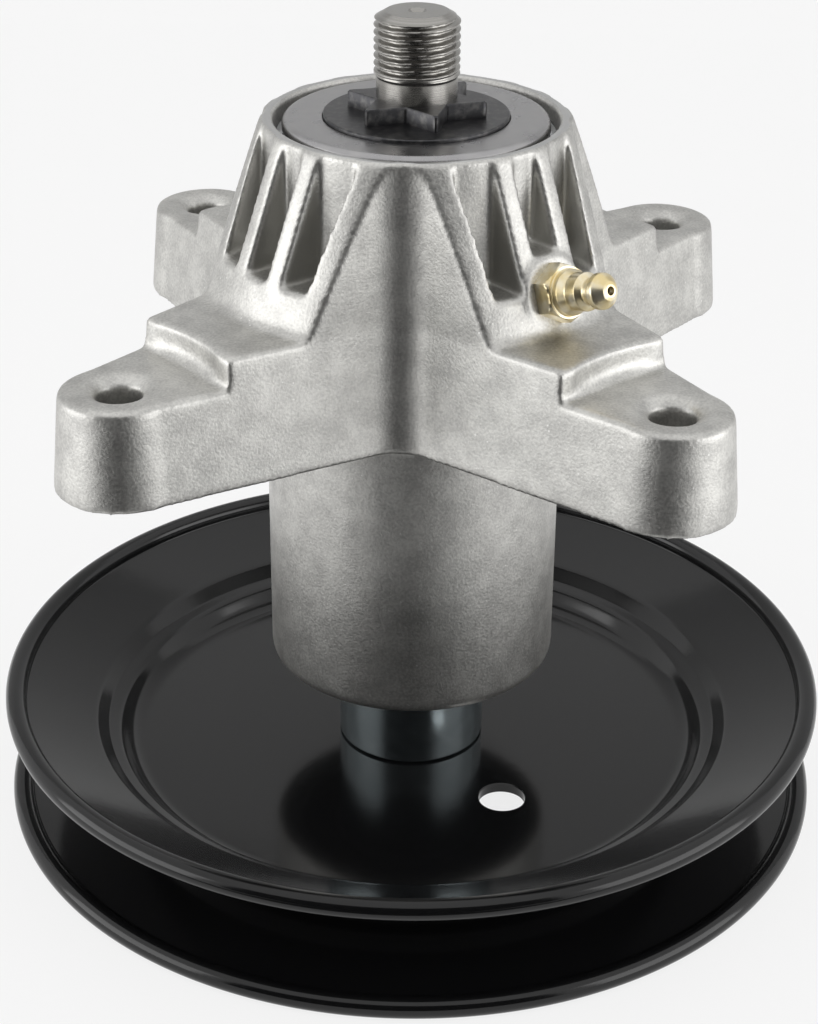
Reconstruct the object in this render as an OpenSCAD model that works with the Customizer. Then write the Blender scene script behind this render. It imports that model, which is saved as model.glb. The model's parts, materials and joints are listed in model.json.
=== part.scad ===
// Blade spindle of a mower deck: a cast housing with four bolt ears, a shaft on two
// ball bearings with a threaded blade end, and a pressed steel belt pulley.
// The spindle axis is Z, and the pulley's lower rim stands on z = 0.

/* [Pulley] */
// Outside diameter over both rims
pulley_d = 168; // [150:1:186]
// Width over the two rims
pulley_w = 26.2; // [24.6:0.2:30]
// Thickness of the pressed steel sheet
sheet_t = 2.2; // [1.6:0.1:2.4]
// Height of the web's upper face above the lower rim
web_h = 9.7; // [9:0.1:10.6]
// Diameter at which the web turns up into the groove wall
web_d = 117; // [110:1:118]
// Diameter of the ridge between the groove wall and the flange
ridge_d = 131.6; // [129:0.2:138]
// Rise of that ridge above the web
ridge_rise = 7.5; // [6.4:0.1:9]
// Diameter of the bead rolled into each rim
bead_d = 4.2; // [3.4:0.1:5]
// Inner diameter of the lower half, welded under the web
weld_ring_d = 80; // [76:1:96]
// Diameter of the round hole in the web
web_hole_d = 9.4; // [6:0.2:10]
// Distance from the axis to that hole
web_hole_r = 32.4; // [30:0.2:33]
// Turn of that hole about the axis
web_hole_turn = -51; // [-180:1:180]

/* [Housing] */
// Height of the mounting face above the pulley's lower rim
mount_h = 88.8; // [72:0.1:100]
// Thickness of the ears over the mounting face
ear_h = 17.3; // [14:0.1:20]
// Rise of the shelf above the ears
shelf_h = 7; // [5:0.1:8]
// Height of the ribbed crown above the shelf
crown_h = 30.2; // [28:0.1:36]
// Diameter of the crown at its foot
crown_foot_d = 77.4; // [74:0.2:80]
// Diameter of the crown at its top
crown_top_d = 57.2; // [56.6:0.2:60]
// Length of the round quill below the mounting face
quill_len = 58.4; // [52:0.2:62]
// Diameter of the quill
quill_d = 57.8; // [57:0.1:60]
// Rounding of the quill's lower edge
quill_edge_r = 2.2; // [1:0.1:2.6]
// Diameter of the circle through the four bolt holes
bolt_circle_d = 136; // [130:0.5:142]
// Diameter of each bolt hole
bolt_hole_d = 8.3; // [6.5:0.1:9.5]
// Diameter of the dished mouth of each bolt hole
bolt_mouth_d = 13; // [11:0.2:15]
// Depth of that dished mouth
bolt_mouth_depth = 1.2; // [0.6:0.1:2]
// Diameter of an ear at the mounting face
ear_d = 24.8; // [22:0.2:27]
// Draft of the ears and of the skirt, in degrees
skirt_draft = 5.6; // [2:0.1:6]
// Angle at which each arm narrows towards its ear
arm_taper = 10.9; // [9:0.1:13]
// Fillet in the notch between two arms
notch_fillet = 9; // [6:0.5:12]
// Fillet in the same notch at the top of the crown
notch_fillet_top = 5; // [3:0.5:6]
// Distance from the axis to the step between shelf and ear
step_r = 53.8; // [50:0.2:56]
// Fillet at the foot of that step
step_fillet = 2.2; // [1:0.1:3]

/* [Crown ribs] */
// Width of the middle pocket in each quarter
pocket_w = 5.3; // [4:0.1:6.5]
// Thickness of the ribs beside the middle pocket
rib_t = 4.3; // [3.4:0.1:5]
// Thickness of the ribs along the notches
edge_rib_t = 3.8; // [3:0.1:4.4]
// Wall between the bearing seat and the pockets
seat_wall = 3; // [2:0.1:4]
// Height of the pocket floors above the shelf
pocket_floor_h = 6.2; // [3:0.1:10]

/* [Bearings] */
// Outside diameter of each ball bearing
bearing_od = 52;
// Bore of each ball bearing
bearing_bore = 25;
// Width of each ball bearing
bearing_w = 15;
// Diameter of the balls
ball_d = 7.94; // [7.1:0.02:8.2]
// Number of balls in each bearing
ball_n = 9; // [7:1:9]
// Depth of the blade bearing below the top of the crown
top_recess = 3.1; // [2.9:0.1:5]
// Diameter of the open mouth above the blade bearing
mouth_d = 53; // [52.4:0.1:53.6]
// Depth of the pulley bearing inside the lower end of the quill
quill_recess = 3; // [1.5:0.1:5]

/* [Shaft] */
// Major diameter of the thread at each end
thread_d = 15.875;
// Height of the shaft above the top of the crown
stub_h = 19.4; // [17:0.1:26]
// Length of the blade thread
blade_thread_len = 11.4; // [9:0.1:14]
// Diameter of the plain neck under the blade thread
neck_d = 15; // [13:0.1:15.6]
// Diameter over the points of the six-point blade star
star_d = 27.2; // [25:0.1:29]
// Height of the blade star
star_h = 3; // [2:0.1:5]
// Turn of the star about the axis
star_turn = -10; // [-30:1:30]
// Diameter of the collar that the blade rests on
collar_d = 34.6; // [32:0.1:38]
// Height of the collar above the top of the crown
collar_proud = 0.6; // [0.2:0.1:1.5]
// Diameter of the flatted pulley seat
seat_d = 19; // [17.5:0.1:21]
// Distance across the flats of the pulley seat
seat_flats = 16.8; // [16.2:0.1:17.4]
// Chamfer on the ends of the shaft
end_chamfer = 1.3; // [0.5:0.1:2]

/* [Caps and spacers] */
// Outside diameter of the steel dust cap
cap_d = 49.8; // [44:0.1:50.4]
// Thickness of the dust cap's sheet
cap_t = 1.2; // [0.8:0.1:1.4]
// Depth of the rim turned down round the dust cap
cap_rim_h = 2.3; // [1.6:0.1:2.5]
// Depth of the dust cap's face below the top of the crown
cap_sunk = 0.1; // [0:0.1:0.4]
// Outside diameter of the bright spacer above the pulley
spacer_d = 30; // [28.5:0.1:31]
// Distance across the flats of the pulley nut
nut_flats = 23.8; // [21:0.1:27]
// Height of the pulley nut with its flange
nut_h = 6.3; // [4.5:0.1:6.4]
// Diameter of the nut's flange
nut_flange_d = 31; // [28:0.2:36]
// Thickness of the nut's flange
nut_flange_t = 1.5; // [1:0.1:2]

/* [Grease fitting] */
// Distance across the flats of the fitting's hexagon
fitting_flats = 9.5; // [8.4:0.1:10.4]
// Height of that hexagon
fitting_hex_h = 3.4; // [2.8:0.1:4]
// Length of the nipple beyond the hexagon
nipple_len = 10.8; // [9.6:0.1:12]
// Diameter of the nipple's head
nipple_d = 6.5; // [6.1:0.1:6.8]
// Diameter of the threaded shank in the housing
shank_d = 6.3; // [5.6:0.1:7.2]
// Length of that shank
shank_len = 5.6; // [4.6:0.1:6.4]
// Diameter of the check ball in the nipple
check_ball_d = 2.4; // [2:0.1:2.6]
// Travel of the check ball when grease is pumped in
check_travel = 1; // [0.5:0.1:1.4]
// Height of the fitting's centre above the shelf
fitting_h = 6.2; // [6:0.1:8]
// Height of the flat boss under the fitting above the crown's slope
boss_rise = 1.8; // [1:0.1:2.4]

/* [Hidden] */
$fn = 96;
// Radial gap between pieces that slide over each other when assembled
fit_gap = 0.02;
// Overlap that lets a cut run clear of a face
over = 1;

// Heights of the main faces
ear_z = mount_h + ear_h;
shelf_z = ear_z + shelf_h;
crown_z = shelf_z + crown_h;
quill_z = mount_h - quill_len;
blade_bearing_z = crown_z - top_recess - bearing_w;
pulley_bearing_z = quill_z + quill_recess;
collar_z = crown_z + collar_proud;
star_z = collar_z + star_h;
shaft_top_z = crown_z + stub_h;
web_under_z = web_h - sheet_t;
nut_z = web_under_z - nut_h;

// Radii shared by pieces that fit together
seat_r = bearing_od / 2;
journal_r = bearing_bore / 2;
chamber_r = seat_r - 3.7;
pitch_r = (seat_r + journal_r) / 2;
ball_r = ball_d / 2;
race_r = ball_r + 0.1;
inner_land_r = pitch_r - 3.4;
outer_land_r = pitch_r + 3.4;
seal_seat_r = outer_land_r + 0.6;
seal_t = 0.8;
seal_sunk = 0.4;

// Walls of the arms: distance of each wall from the axis, at the skirt's foot and top
ear_r = ear_d / 2;
draft_in = ear_h * tan(skirt_draft);
wall_foot = ear_r + bolt_circle_d / 2 * sin(arm_taper);
wall_top = wall_foot - draft_in;
notch_angle = 45 - arm_taper;
crown_slope = atan((crown_foot_d - crown_top_d) / 2 / crown_h);
pocket_reach = crown_foot_d / 2 + 6;

// Points along an arc that rounds the corner b of the path a, b, c
function unit(v) = v / norm(v);
function corner_arc(a, b, c, r, steps) =
    let (u = unit(a - b), v = unit(c - b), half = acos(u * v) / 2,
         centre = b + unit(u + v) * r / sin(half),
         s = unit(b + u * r / tan(half) - centre), e = unit(b + v * r / tan(half) - centre),
         sweep = 180 - 2 * half)
    [for (i = [0 : steps])
        centre + r * (s * sin(sweep * (1 - i / steps)) + e * sin(sweep * i / steps)) / sin(sweep)];

// Closed outline with each corner rounded by its own radius; a radius of 0 stays sharp
function rounded(pts, radii, steps = 6) =
    let (n = len(pts))
    [for (i = [0 : n - 1])
        each radii[i] == 0 ? [pts[i]]
            : corner_arc(pts[(i + n - 1) % n], pts[i], pts[(i + 1) % n], radii[i], steps)];

// Open path with its inner corners rounded
function rounded_path(pts, radii, steps = 6) =
    let (n = len(pts))
    [for (i = [0 : n - 1])
        each (i == 0 || i == n - 1 || radii[i] == 0) ? [pts[i]]
            : corner_arc(pts[i - 1], pts[i], pts[i + 1], radii[i], steps)];

// Strip of even thickness t on the right of an open path
function path_dir(p, i) = unit(p[min(i + 1, len(p) - 1)] - p[max(i - 1, 0)]);
function strip(p, t) =
    concat(p, [for (i = [len(p) - 1 : -1 : 0]) let (d = path_dir(p, i)) p[i] + t * [d[1], -d[0]]]);

module ring(r_in, r_out, z0, z1) {
    translate([0, 0, z0]) difference() {
        cylinder(r = r_out, h = z1 - z0);
        translate([0, 0, -over]) cylinder(r = r_in, h = z1 - z0 + 2 * over);
    }
}

// Outline that the notch between two arms cuts, opening towards -Y
module notch_outline(wall, fillet) {
    apex = wall / cos(notch_angle);
    drop = bolt_circle_d * tan(notch_angle);
    polygon(rounded(
        [[0, -apex], [bolt_circle_d, -apex - drop], [-bolt_circle_d, -apex - drop]],
        [fillet, 0, 0], 10));
}

// The four notches: drafted beside the ears, and narrowing beside the shelf and the crown
module notches() {
    lean = atan(draft_in / cos(notch_angle) / ear_h);
    slab = 0.01;
    for (turn = [0 : 90 : 270]) rotate(turn) {
        intersection() {
            translate([0, 0, mount_h]) rotate([lean, 0, 0]) translate([0, 0, -ear_h])
                linear_extrude(height = 3 * ear_h) notch_outline(wall_foot, notch_fillet);
            translate([-bolt_circle_d, -2 * bolt_circle_d, mount_h - over])
                cube([2 * bolt_circle_d, 2 * bolt_circle_d, ear_h + over]);
        }
        hull() {
            translate([0, 0, ear_z])
                linear_extrude(height = slab) notch_outline(wall_top, notch_fillet);
            translate([0, 0, crown_z + over])
                linear_extrude(height = slab) notch_outline(wall_top - 0.3, notch_fillet_top);
        }
    }
}

// Side view of one pair of arms: flat foot, ear, filleted step and shelf
module arm_pair() {
    half_w = wall_foot + 2;
    end = bolt_circle_d / 2 + ear_r * sin(arm_taper) - 0.2;
    side = [[end, mount_h], [end, ear_z], [step_r, ear_z], [step_r - 0.4, shelf_z]];
    outline = concat(
        rounded_path(concat([[0, mount_h]], side, [[0, shelf_z]]), [0, 0, 0, step_fillet, 0.8, 0], 6));
    rotate([90, 0, 0]) translate([0, 0, -half_w]) linear_extrude(height = 2 * half_w) {
        polygon(outline);
        mirror([1, 0]) polygon(outline);
    }
}

// Round inner end of a pocket, from angle a0 to angle a1 about c
function round_end(c, r, a0, a1, steps = 12) =
    [for (i = [0 : steps]) let (a = a0 + (a1 - a0) * i / steps) c + r * [cos(a), sin(a)]];

// Pocket outlines of one quarter, looking down, with the arm along +X
module middle_pocket() {
    r = pocket_w / 2;
    c = [seat_r + seat_wall + r, 0];
    polygon(concat(round_end(c, r, 270, 90), [[pocket_reach, r], [pocket_reach, -r]]));
}
// One edge runs along the middle rib, the other along the wall of the notch
module side_pocket() {
    near_y = pocket_w / 2 + rib_t;
    far_d = wall_top - edge_rib_t;
    x = seat_r + seat_wall + 2.3;
    r = (far_d - x * sin(arm_taper) - near_y * cos(arm_taper)) / (1 + cos(arm_taper));
    far_y = (far_d - pocket_reach * sin(arm_taper)) / cos(arm_taper);
    polygon(concat(
        round_end([x, near_y + r], r, 270, 90 - arm_taper),
        [[pocket_reach, far_y], [pocket_reach, near_y]]));
}
module pockets() {
    floor_z = shelf_z + pocket_floor_h;
    for (turn = [45 : 90 : 315]) rotate(turn) {
        // The pocket over the grease fitting stops above its boss
        lift = turn == 315 ? boss_top_z() - floor_z : 0;
        translate([0, 0, floor_z + lift]) linear_extrude(height = crown_h) middle_pocket();
        translate([0, 0, floor_z]) linear_extrude(height = crown_h) {
            side_pocket();
            mirror([0, 1]) side_pocket();
        }
    }
}

// Frame of the grease fitting: origin on the crown's slope, Z outwards along the fitting
fitting_z = shelf_z + fitting_h;
fitting_r = crown_foot_d / 2 - fitting_h * tan(crown_slope);
boss_r = fitting_flats / 2 / cos(30) + 1.5;
function boss_top_z() = fitting_z + boss_r * cos(crown_slope);
module at_fitting() {
    rotate(-45) translate([fitting_r, 0, fitting_z]) rotate([0, 90 - crown_slope, 0])
        translate([0, 0, boss_rise]) children();
}

module spindle_housing() {
    quill = rounded(
        [[0, quill_z], [quill_d / 2, quill_z], [quill_d / 2, mount_h + over], [0, mount_h + over]],
        [0, quill_edge_r, 0, 0]);
    foot_r = crown_foot_d / 2;
    boss_len = 8;
    passage_len = boss_rise + (fitting_r - chamber_r) / cos(crown_slope) + 2.5;
    crown = rounded_path(
        [[0, shelf_z - over], [foot_r + 3, shelf_z - over], [foot_r + 3, shelf_z], [foot_r, shelf_z],
         [crown_top_d / 2, crown_z], [0, crown_z]],
        [0, 0, 0, 2.5, 0.6, 0]);
    color([0.77, 0.78, 0.78]) difference() {
        union() {
            difference() {
                union() {
                    for (turn = [45, 135]) rotate(turn) arm_pair();
                    rotate_extrude() polygon(crown);
                }
                notches();
                pockets();
            }
            for (turn = [45 : 90 : 315]) rotate(turn) translate([bolt_circle_d / 2, 0, mount_h])
                cylinder(r1 = ear_r - fit_gap, r2 = ear_r - draft_in - fit_gap, h = ear_h);
            rotate_extrude() polygon(quill);
            at_fitting() translate([0, 0, -boss_len]) cylinder(r = boss_r, h = boss_len);
        }
        // Bearing seats, shoulders and the grease chamber between them
        translate([0, 0, quill_z - over]) cylinder(r = chamber_r, h = crown_z - quill_z + 2 * over);
        translate([0, 0, blade_bearing_z]) cylinder(r = seat_r, h = bearing_w + top_recess + over);
        translate([0, 0, crown_z - top_recess + 0.4]) cylinder(d = mouth_d, h = top_recess + over);
        translate([0, 0, quill_z - over]) cylinder(r = seat_r, h = bearing_w + quill_recess + over);
        // Bolt holes with dished mouths
        for (turn = [45 : 90 : 315]) rotate(turn) translate([bolt_circle_d / 2, 0, 0]) {
            translate([0, 0, mount_h - over]) cylinder(d = bolt_hole_d, h = ear_h + 2 * over);
            translate([0, 0, ear_z - bolt_mouth_depth])
                cylinder(d1 = bolt_hole_d, d2 = bolt_mouth_d, h = bolt_mouth_depth + 0.01);
        }
        // Threaded port and grease passage
        at_fitting() {
            translate([0, 0, -shank_len - 1]) cylinder(d = shank_d + 2 * fit_gap, h = shank_len + 1 + over);
            translate([0, 0, -passage_len]) cylinder(d = 4, h = passage_len);
        }
    }
}

// Six-point star: two triangles, one turned half a point
module star_outline() {
    intersection() {
        union() for (turn = [0, 60]) rotate(turn) circle(d = star_d, $fn = 3);
        circle(d = star_d - 0.8);
    }
}

module spindle_shaft() {
    thread_r = thread_d / 2;
    land_r = journal_r + 2.7;
    top_r = thread_r - 2.2;
    profile = [
        [0, nut_z], [thread_r - end_chamfer, nut_z], [thread_r, nut_z + end_chamfer],
        [thread_r, web_under_z], [seat_d / 2, web_under_z], [seat_d / 2, web_h + 0.3],
        [journal_r, web_h + 0.3], [journal_r, blade_bearing_z + bearing_w],
        [land_r, blade_bearing_z + bearing_w], [land_r, blade_bearing_z + bearing_w + 0.4],
        [collar_d / 2, blade_bearing_z + bearing_w + 0.4], [collar_d / 2, collar_z],
        [neck_d / 2, collar_z], [neck_d / 2, shaft_top_z - blade_thread_len - 0.5],
        [thread_r, shaft_top_z - blade_thread_len], [thread_r, shaft_top_z - end_chamfer],
        [top_r, shaft_top_z], [0, shaft_top_z]];
    color([0.5, 0.5, 0.49]) difference() {
        union() {
            rotate_extrude() polygon(profile);
            rotate(star_turn) translate([0, 0, collar_z - over])
                linear_extrude(height = star_h + over) star_outline();
        }
        // Two flats drive the pulley
        for (side = [0, 180]) rotate(side)
            translate([seat_flats / 2, -seat_d, web_under_z]) cube([seat_d, 2 * seat_d, sheet_t + 0.3]);
        // Centre drilling in the blade end
        translate([0, 0, shaft_top_z - 1.6]) cylinder(r1 = 0.1, r2 = 1.7, h = 1.6 + 0.01);
    }
}

// Pressed steel cap round the collar, with its rim turned down
module dust_cap() {
    top = crown_z - cap_sunk;
    r_in = collar_d / 2 + fit_gap;
    path = rounded_path(
        [[r_in, top], [cap_d / 2, top], [cap_d / 2, top - cap_rim_h]], [0, cap_t + 0.4, 0]);
    color([0.72, 0.73, 0.73]) rotate_extrude() polygon(strip(path, cap_t));
}

module inner_spacer_tube() {
    color([0.55, 0.56, 0.58])
        ring(journal_r + 0.1, inner_land_r - 0.4, pulley_bearing_z + bearing_w, blade_bearing_z);
}

module pulley_spacer() {
    edge = 0.4;
    r_in = journal_r + 0.1;
    r_out = spacer_d / 2;
    color([0.78, 0.82, 0.86]) rotate_extrude() polygon([
        [r_in, web_h], [r_out - edge, web_h], [r_out, web_h + edge],
        [r_out, pulley_bearing_z - edge], [r_out - edge, pulley_bearing_z], [r_in, pulley_bearing_z]]);
}

// Bore of the pulley: round with two flats
module pulley_bore(clear) {
    intersection() {
        circle(d = seat_d + 2 * clear);
        square([seat_flats + 2 * clear, 2 * seat_d], center = true);
    }
}

// Pressed profile from the hub out to the bead: web, groove wall, ridge and flange
bead_r = bead_d / 2;
bead_x = pulley_d / 2 - bead_r;
module pulley_upper_half() {
    bead_z = pulley_w - bead_r;
    ridge = [ridge_d / 2, web_h + ridge_rise];
    ledge = [ridge_d / 2 - 4.8, web_h + ridge_rise * 0.54];
    path = rounded_path(
        [[0, web_h], [web_d / 2 - 0.3, web_h], ledge, ledge + [2.4, 0.8], ridge, [bead_x, bead_z - 0.2]],
        [0, sheet_t + 1.8, sheet_t + 0.1, 1, sheet_t + 0.4, 0], 8);
    color([0.05, 0.05, 0.06]) difference() {
        union() {
            rotate_extrude() polygon(strip(path, sheet_t));
            rotate_extrude() translate([bead_x, bead_z]) circle(r = bead_r, $fn = 48);
        }
        translate([0, 0, web_under_z - over])
            linear_extrude(height = sheet_t + 2 * over) pulley_bore(fit_gap);
        rotate(web_hole_turn) translate([web_hole_r, 0, web_under_z - over])
            cylinder(d = web_hole_d, h = sheet_t + 2 * over);
    }
}

module pulley_lower_half() {
    lower_turn_r = web_d / 2 + 6;
    path = rounded_path(
        [[weld_ring_d / 2, web_under_z], [lower_turn_r, web_under_z], [bead_x, bead_r + 0.2]],
        [0, sheet_t + 2, 0]);
    color([0.05, 0.05, 0.06]) union() {
        rotate_extrude() polygon(strip(path, sheet_t));
        rotate_extrude() translate([bead_x, bead_r]) circle(r = bead_r, $fn = 48);
    }
}

module pulley_nut() {
    hex_r = nut_flats / 2 / cos(30);
    color([0.68, 0.64, 0.5]) difference() {
        union() {
            translate([0, 0, nut_z]) intersection() {
                cylinder(r = hex_r, h = nut_h - nut_flange_t + 0.2, $fn = 6);
                cylinder(r1 = hex_r - 1.4, r2 = hex_r + nut_h, h = nut_h + 1.4);
            }
            translate([0, 0, web_under_z - nut_flange_t])
                cylinder(d = nut_flange_d, h = nut_flange_t);
        }
        translate([0, 0, nut_z - over]) cylinder(d = thread_d + 2 * fit_gap, h = nut_h + 2 * over);
    }
}

// Pieces of a ball bearing whose lower face lies at height z
module bearing_outer_ring(z) {
    mid = z + bearing_w / 2;
    seat_depth = seal_sunk + seal_t;
    difference() {
        ring(outer_land_r, seat_r, z, z + bearing_w);
        for (end = [z - over, z + bearing_w - seat_depth])
            translate([0, 0, end]) cylinder(r = seal_seat_r, h = seat_depth + over);
        translate([0, 0, mid]) rotate_extrude() translate([pitch_r, 0]) circle(r = race_r, $fn = 64);
    }
}
module bearing_inner_ring(z) {
    mid = z + bearing_w / 2;
    difference() {
        ring(journal_r, inner_land_r, z, z + bearing_w);
        translate([0, 0, mid]) rotate_extrude() translate([pitch_r, 0]) circle(r = race_r, $fn = 64);
    }
}
module bearing_balls(z) {
    for (i = [0 : ball_n - 1]) rotate(i * 360 / ball_n)
        translate([pitch_r, 0, z + bearing_w / 2]) sphere(r = ball_r, $fn = 32);
}
// Snap cage: a closed rim on the outer side and open pockets on the other
module bearing_cage(z, up) {
    rim = ball_r + 1.1;
    lip = 2.6;
    mid = z + bearing_w / 2;
    difference() {
        ring(pitch_r - 1.4, pitch_r + 1.4, mid - (up ? lip : rim), mid + (up ? rim : lip));
        for (i = [0 : ball_n - 1]) rotate(i * 360 / ball_n)
            translate([pitch_r, 0, mid]) sphere(r = ball_r + 0.12, $fn = 32);
    }
}
module bearing_seal(z) {
    ring(inner_land_r + 0.15, seal_seat_r - fit_gap, z, z + seal_t);
}

module blade_bearing_outer_ring() { color([0.7, 0.72, 0.75]) bearing_outer_ring(blade_bearing_z); }
module blade_bearing_inner_ring() { color([0.7, 0.72, 0.75]) bearing_inner_ring(blade_bearing_z); }
module blade_bearing_cage() { color([0.75, 0.6, 0.3]) bearing_cage(blade_bearing_z, true); }
module blade_bearing_balls() { color([0.8, 0.82, 0.85]) bearing_balls(blade_bearing_z); }
module blade_bearing_outer_seal() {
    color([0.12, 0.12, 0.12]) bearing_seal(blade_bearing_z + bearing_w - seal_sunk - seal_t);
}
module blade_bearing_inner_seal() { color([0.12, 0.12, 0.12]) bearing_seal(blade_bearing_z + seal_sunk); }
module pulley_bearing_outer_ring() { color([0.7, 0.72, 0.75]) bearing_outer_ring(pulley_bearing_z); }
module pulley_bearing_inner_ring() { color([0.7, 0.72, 0.75]) bearing_inner_ring(pulley_bearing_z); }
module pulley_bearing_cage() { color([0.75, 0.6, 0.3]) bearing_cage(pulley_bearing_z, false); }
module pulley_bearing_balls() { color([0.8, 0.82, 0.85]) bearing_balls(pulley_bearing_z); }
module pulley_bearing_outer_seal() { color([0.12, 0.12, 0.12]) bearing_seal(pulley_bearing_z + seal_sunk); }
module pulley_bearing_inner_seal() {
    color([0.12, 0.12, 0.12]) bearing_seal(pulley_bearing_z + bearing_w - seal_sunk - seal_t);
}

// Inside of the nipple: a mouth, a seat for the check ball and a long spring bore
nipple_top = fitting_hex_h + nipple_len;
check_r = check_ball_d / 2;
check_z = nipple_top - 1.1 - check_r;
spring_bore_r = check_r + 0.15;
spring_wire_r = 0.22;
spring_foot = 1.5;
module grease_fitting() {
    neck_r = nipple_d / 2 - 0.85;
    hex_r = fitting_flats / 2 / cos(30);
    outline = [
        [0, -shank_len], [shank_d / 2 - 0.6, -shank_len], [shank_d / 2, -shank_len + 0.6],
        [shank_d / 2, 0], [nipple_d / 2 + 0.9, 0], [nipple_d / 2 + 0.9, fitting_hex_h],
        [nipple_d / 2 + 0.9, fitting_hex_h + 1.2], [nipple_d / 2 + 0.2, fitting_hex_h + 2.6],
        [nipple_d / 2 + 0.2, nipple_top - 5.8], [neck_r, nipple_top - 5], [neck_r, nipple_top - 3.8],
        [nipple_d / 2, nipple_top - 2.9], [nipple_d / 2, nipple_top - 1.7],
        [nipple_d / 2 - 1.5, nipple_top - 0.2], [nipple_d / 2 - 2.1, nipple_top], [0, nipple_top]];
    color([0.8, 0.62, 0.25]) at_fitting() difference() {
        union() {
            rotate_extrude() polygon(outline);
            intersection() {
                cylinder(r = hex_r, h = fitting_hex_h, $fn = 6);
                cylinder(r1 = hex_r + 3.2, r2 = hex_r - 0.8, h = fitting_hex_h);
            }
        }
        translate([0, 0, -shank_len - over]) cylinder(r = 1, h = nipple_top + shank_len + over - 1);
        translate([0, 0, spring_foot]) cylinder(r = spring_bore_r, h = check_z - spring_foot + 0.35);
        translate([0, 0, check_z]) sphere(r = check_r + 0.05, $fn = 32);
        translate([0, 0, nipple_top - 2]) cylinder(r = 0.75, h = 2 + over);
    }
}
module grease_check_ball() {
    color([0.85, 0.86, 0.88]) at_fitting() translate([0, 0, check_z]) sphere(r = check_r, $fn = 32);
}
// The check spring's turns as a tube of the coil's outer shape
module grease_check_spring() {
    top = check_z - check_r * 0.8;
    color([0.6, 0.6, 0.62]) at_fitting()
        ring(spring_bore_r - 0.1 - 2 * spring_wire_r, spring_bore_r - 0.1, spring_foot, top);
}

spindle_housing();
spindle_shaft();
dust_cap();
inner_spacer_tube();
pulley_spacer();
pulley_upper_half();
pulley_lower_half();
pulley_nut();
blade_bearing_outer_ring();
blade_bearing_inner_ring();
blade_bearing_cage();
blade_bearing_balls();
blade_bearing_outer_seal();
blade_bearing_inner_seal();
pulley_bearing_outer_ring();
pulley_bearing_inner_ring();
pulley_bearing_cage();
pulley_bearing_balls();
pulley_bearing_outer_seal();
pulley_bearing_inner_seal();
grease_fitting();
grease_check_ball();
grease_check_spring();
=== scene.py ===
import json
from math import asin, atan2, ceil, cos, pi, radians, sin, sqrt, tan

import bmesh
import bpy
from mathutils import Matrix, Vector


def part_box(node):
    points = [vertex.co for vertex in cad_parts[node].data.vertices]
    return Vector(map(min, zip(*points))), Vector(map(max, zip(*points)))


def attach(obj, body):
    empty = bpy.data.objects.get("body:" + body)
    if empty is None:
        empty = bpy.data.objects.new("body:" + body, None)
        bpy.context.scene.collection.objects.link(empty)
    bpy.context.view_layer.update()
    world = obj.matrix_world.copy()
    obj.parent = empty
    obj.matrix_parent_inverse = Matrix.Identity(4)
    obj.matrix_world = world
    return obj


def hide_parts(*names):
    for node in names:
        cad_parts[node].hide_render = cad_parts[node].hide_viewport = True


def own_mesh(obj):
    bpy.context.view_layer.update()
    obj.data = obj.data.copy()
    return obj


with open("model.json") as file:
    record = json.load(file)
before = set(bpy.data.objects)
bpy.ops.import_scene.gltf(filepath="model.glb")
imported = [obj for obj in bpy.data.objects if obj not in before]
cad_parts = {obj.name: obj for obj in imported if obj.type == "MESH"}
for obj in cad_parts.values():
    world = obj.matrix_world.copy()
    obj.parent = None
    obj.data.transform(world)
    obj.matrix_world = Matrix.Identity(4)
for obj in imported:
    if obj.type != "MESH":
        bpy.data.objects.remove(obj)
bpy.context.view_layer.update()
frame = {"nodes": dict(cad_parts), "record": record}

# Housing: one aluminium die casting with four bolt ears, a ribbed crown and a round quill. It is
# blasted after casting, which leaves soft edges and a grey, grainy skin. The bearing mouth, the
# deck face and the quill's end are then turned true, and these faces stay brighter and smoother.
cast_voxel = 0.48
cast_edge_passes = 5
cast_triangles = 190000
machined_band = 0.7
nick_place = (17.9, -33.2, 99.5)
nick_radius = 1.1
nick_depth = 0.5
crown_foot = 41.0
crown_tip = 28.9
crown_rise = 30.2
crown_fillet = 2.2
crown_core = 27.4
arm_taper = radians(10.9)
notch_walls = ((-1, 24.98), (18.7, 23.1), (24.3, 22.5), (55.5, 22.2))
notch_round = 9.0
notch_spread = 60.0
ear_foot = 12.4
ear_head = 10.7
ear_height = 18.7
ear_rounding = 1.0
bolt_circle = 68.0
bolt_hole = 4.15
bolt_mouth = 6.5
mouth_depth = 1.3
arm_start = 36.0
arm_slab = 8.0
step_hollow = 36.0
step_place = 52.1
step_fillet = 2.4
seat_wall = 28.7
pocket_reach = 50.0
pocket_floor = 7.3
port_pocket_floor = 13.2
middle_pocket = 2.73
rib = 3.9
pocket_wall = 18.55
spot_face = 6.3
port = 3.2


def span(node):
    """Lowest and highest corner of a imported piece, in millimetres."""
    return [corner * 1000 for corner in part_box(node)]


def colour(code):
    """An sRGB hex colour as linear red, green and blue with a full alpha."""
    parts = [int(code[i : i + 2], 16) / 255 for i in (1, 3, 5)]
    return [*(c / 12.92 if c <= 0.04045 else ((c + 0.055) / 1.055) ** 2.4 for c in parts), 1]


def shown(sockets, name=None):
    """The first socket in use, or the first in use with that name."""
    return next(s for s in sockets if s.enabled and name in (None, s.name))


def add(tree, kind, inputs=None, **settings):
    """Adds a node with its settings. An input takes a value, a socket or a node's first output."""
    node = tree.nodes.new(kind)
    for key, value in settings.items():
        setattr(node, key, value)
    for key, value in (inputs or {}).items():
        socket = shown(node.inputs, key) if isinstance(key, str) else node.inputs[key]
        if isinstance(value, bpy.types.Node):
            value = shown(value.outputs)
        if isinstance(value, bpy.types.NodeSocket):
            tree.links.new(value, socket)
        else:
            socket.default_value = value
    return node


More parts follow.
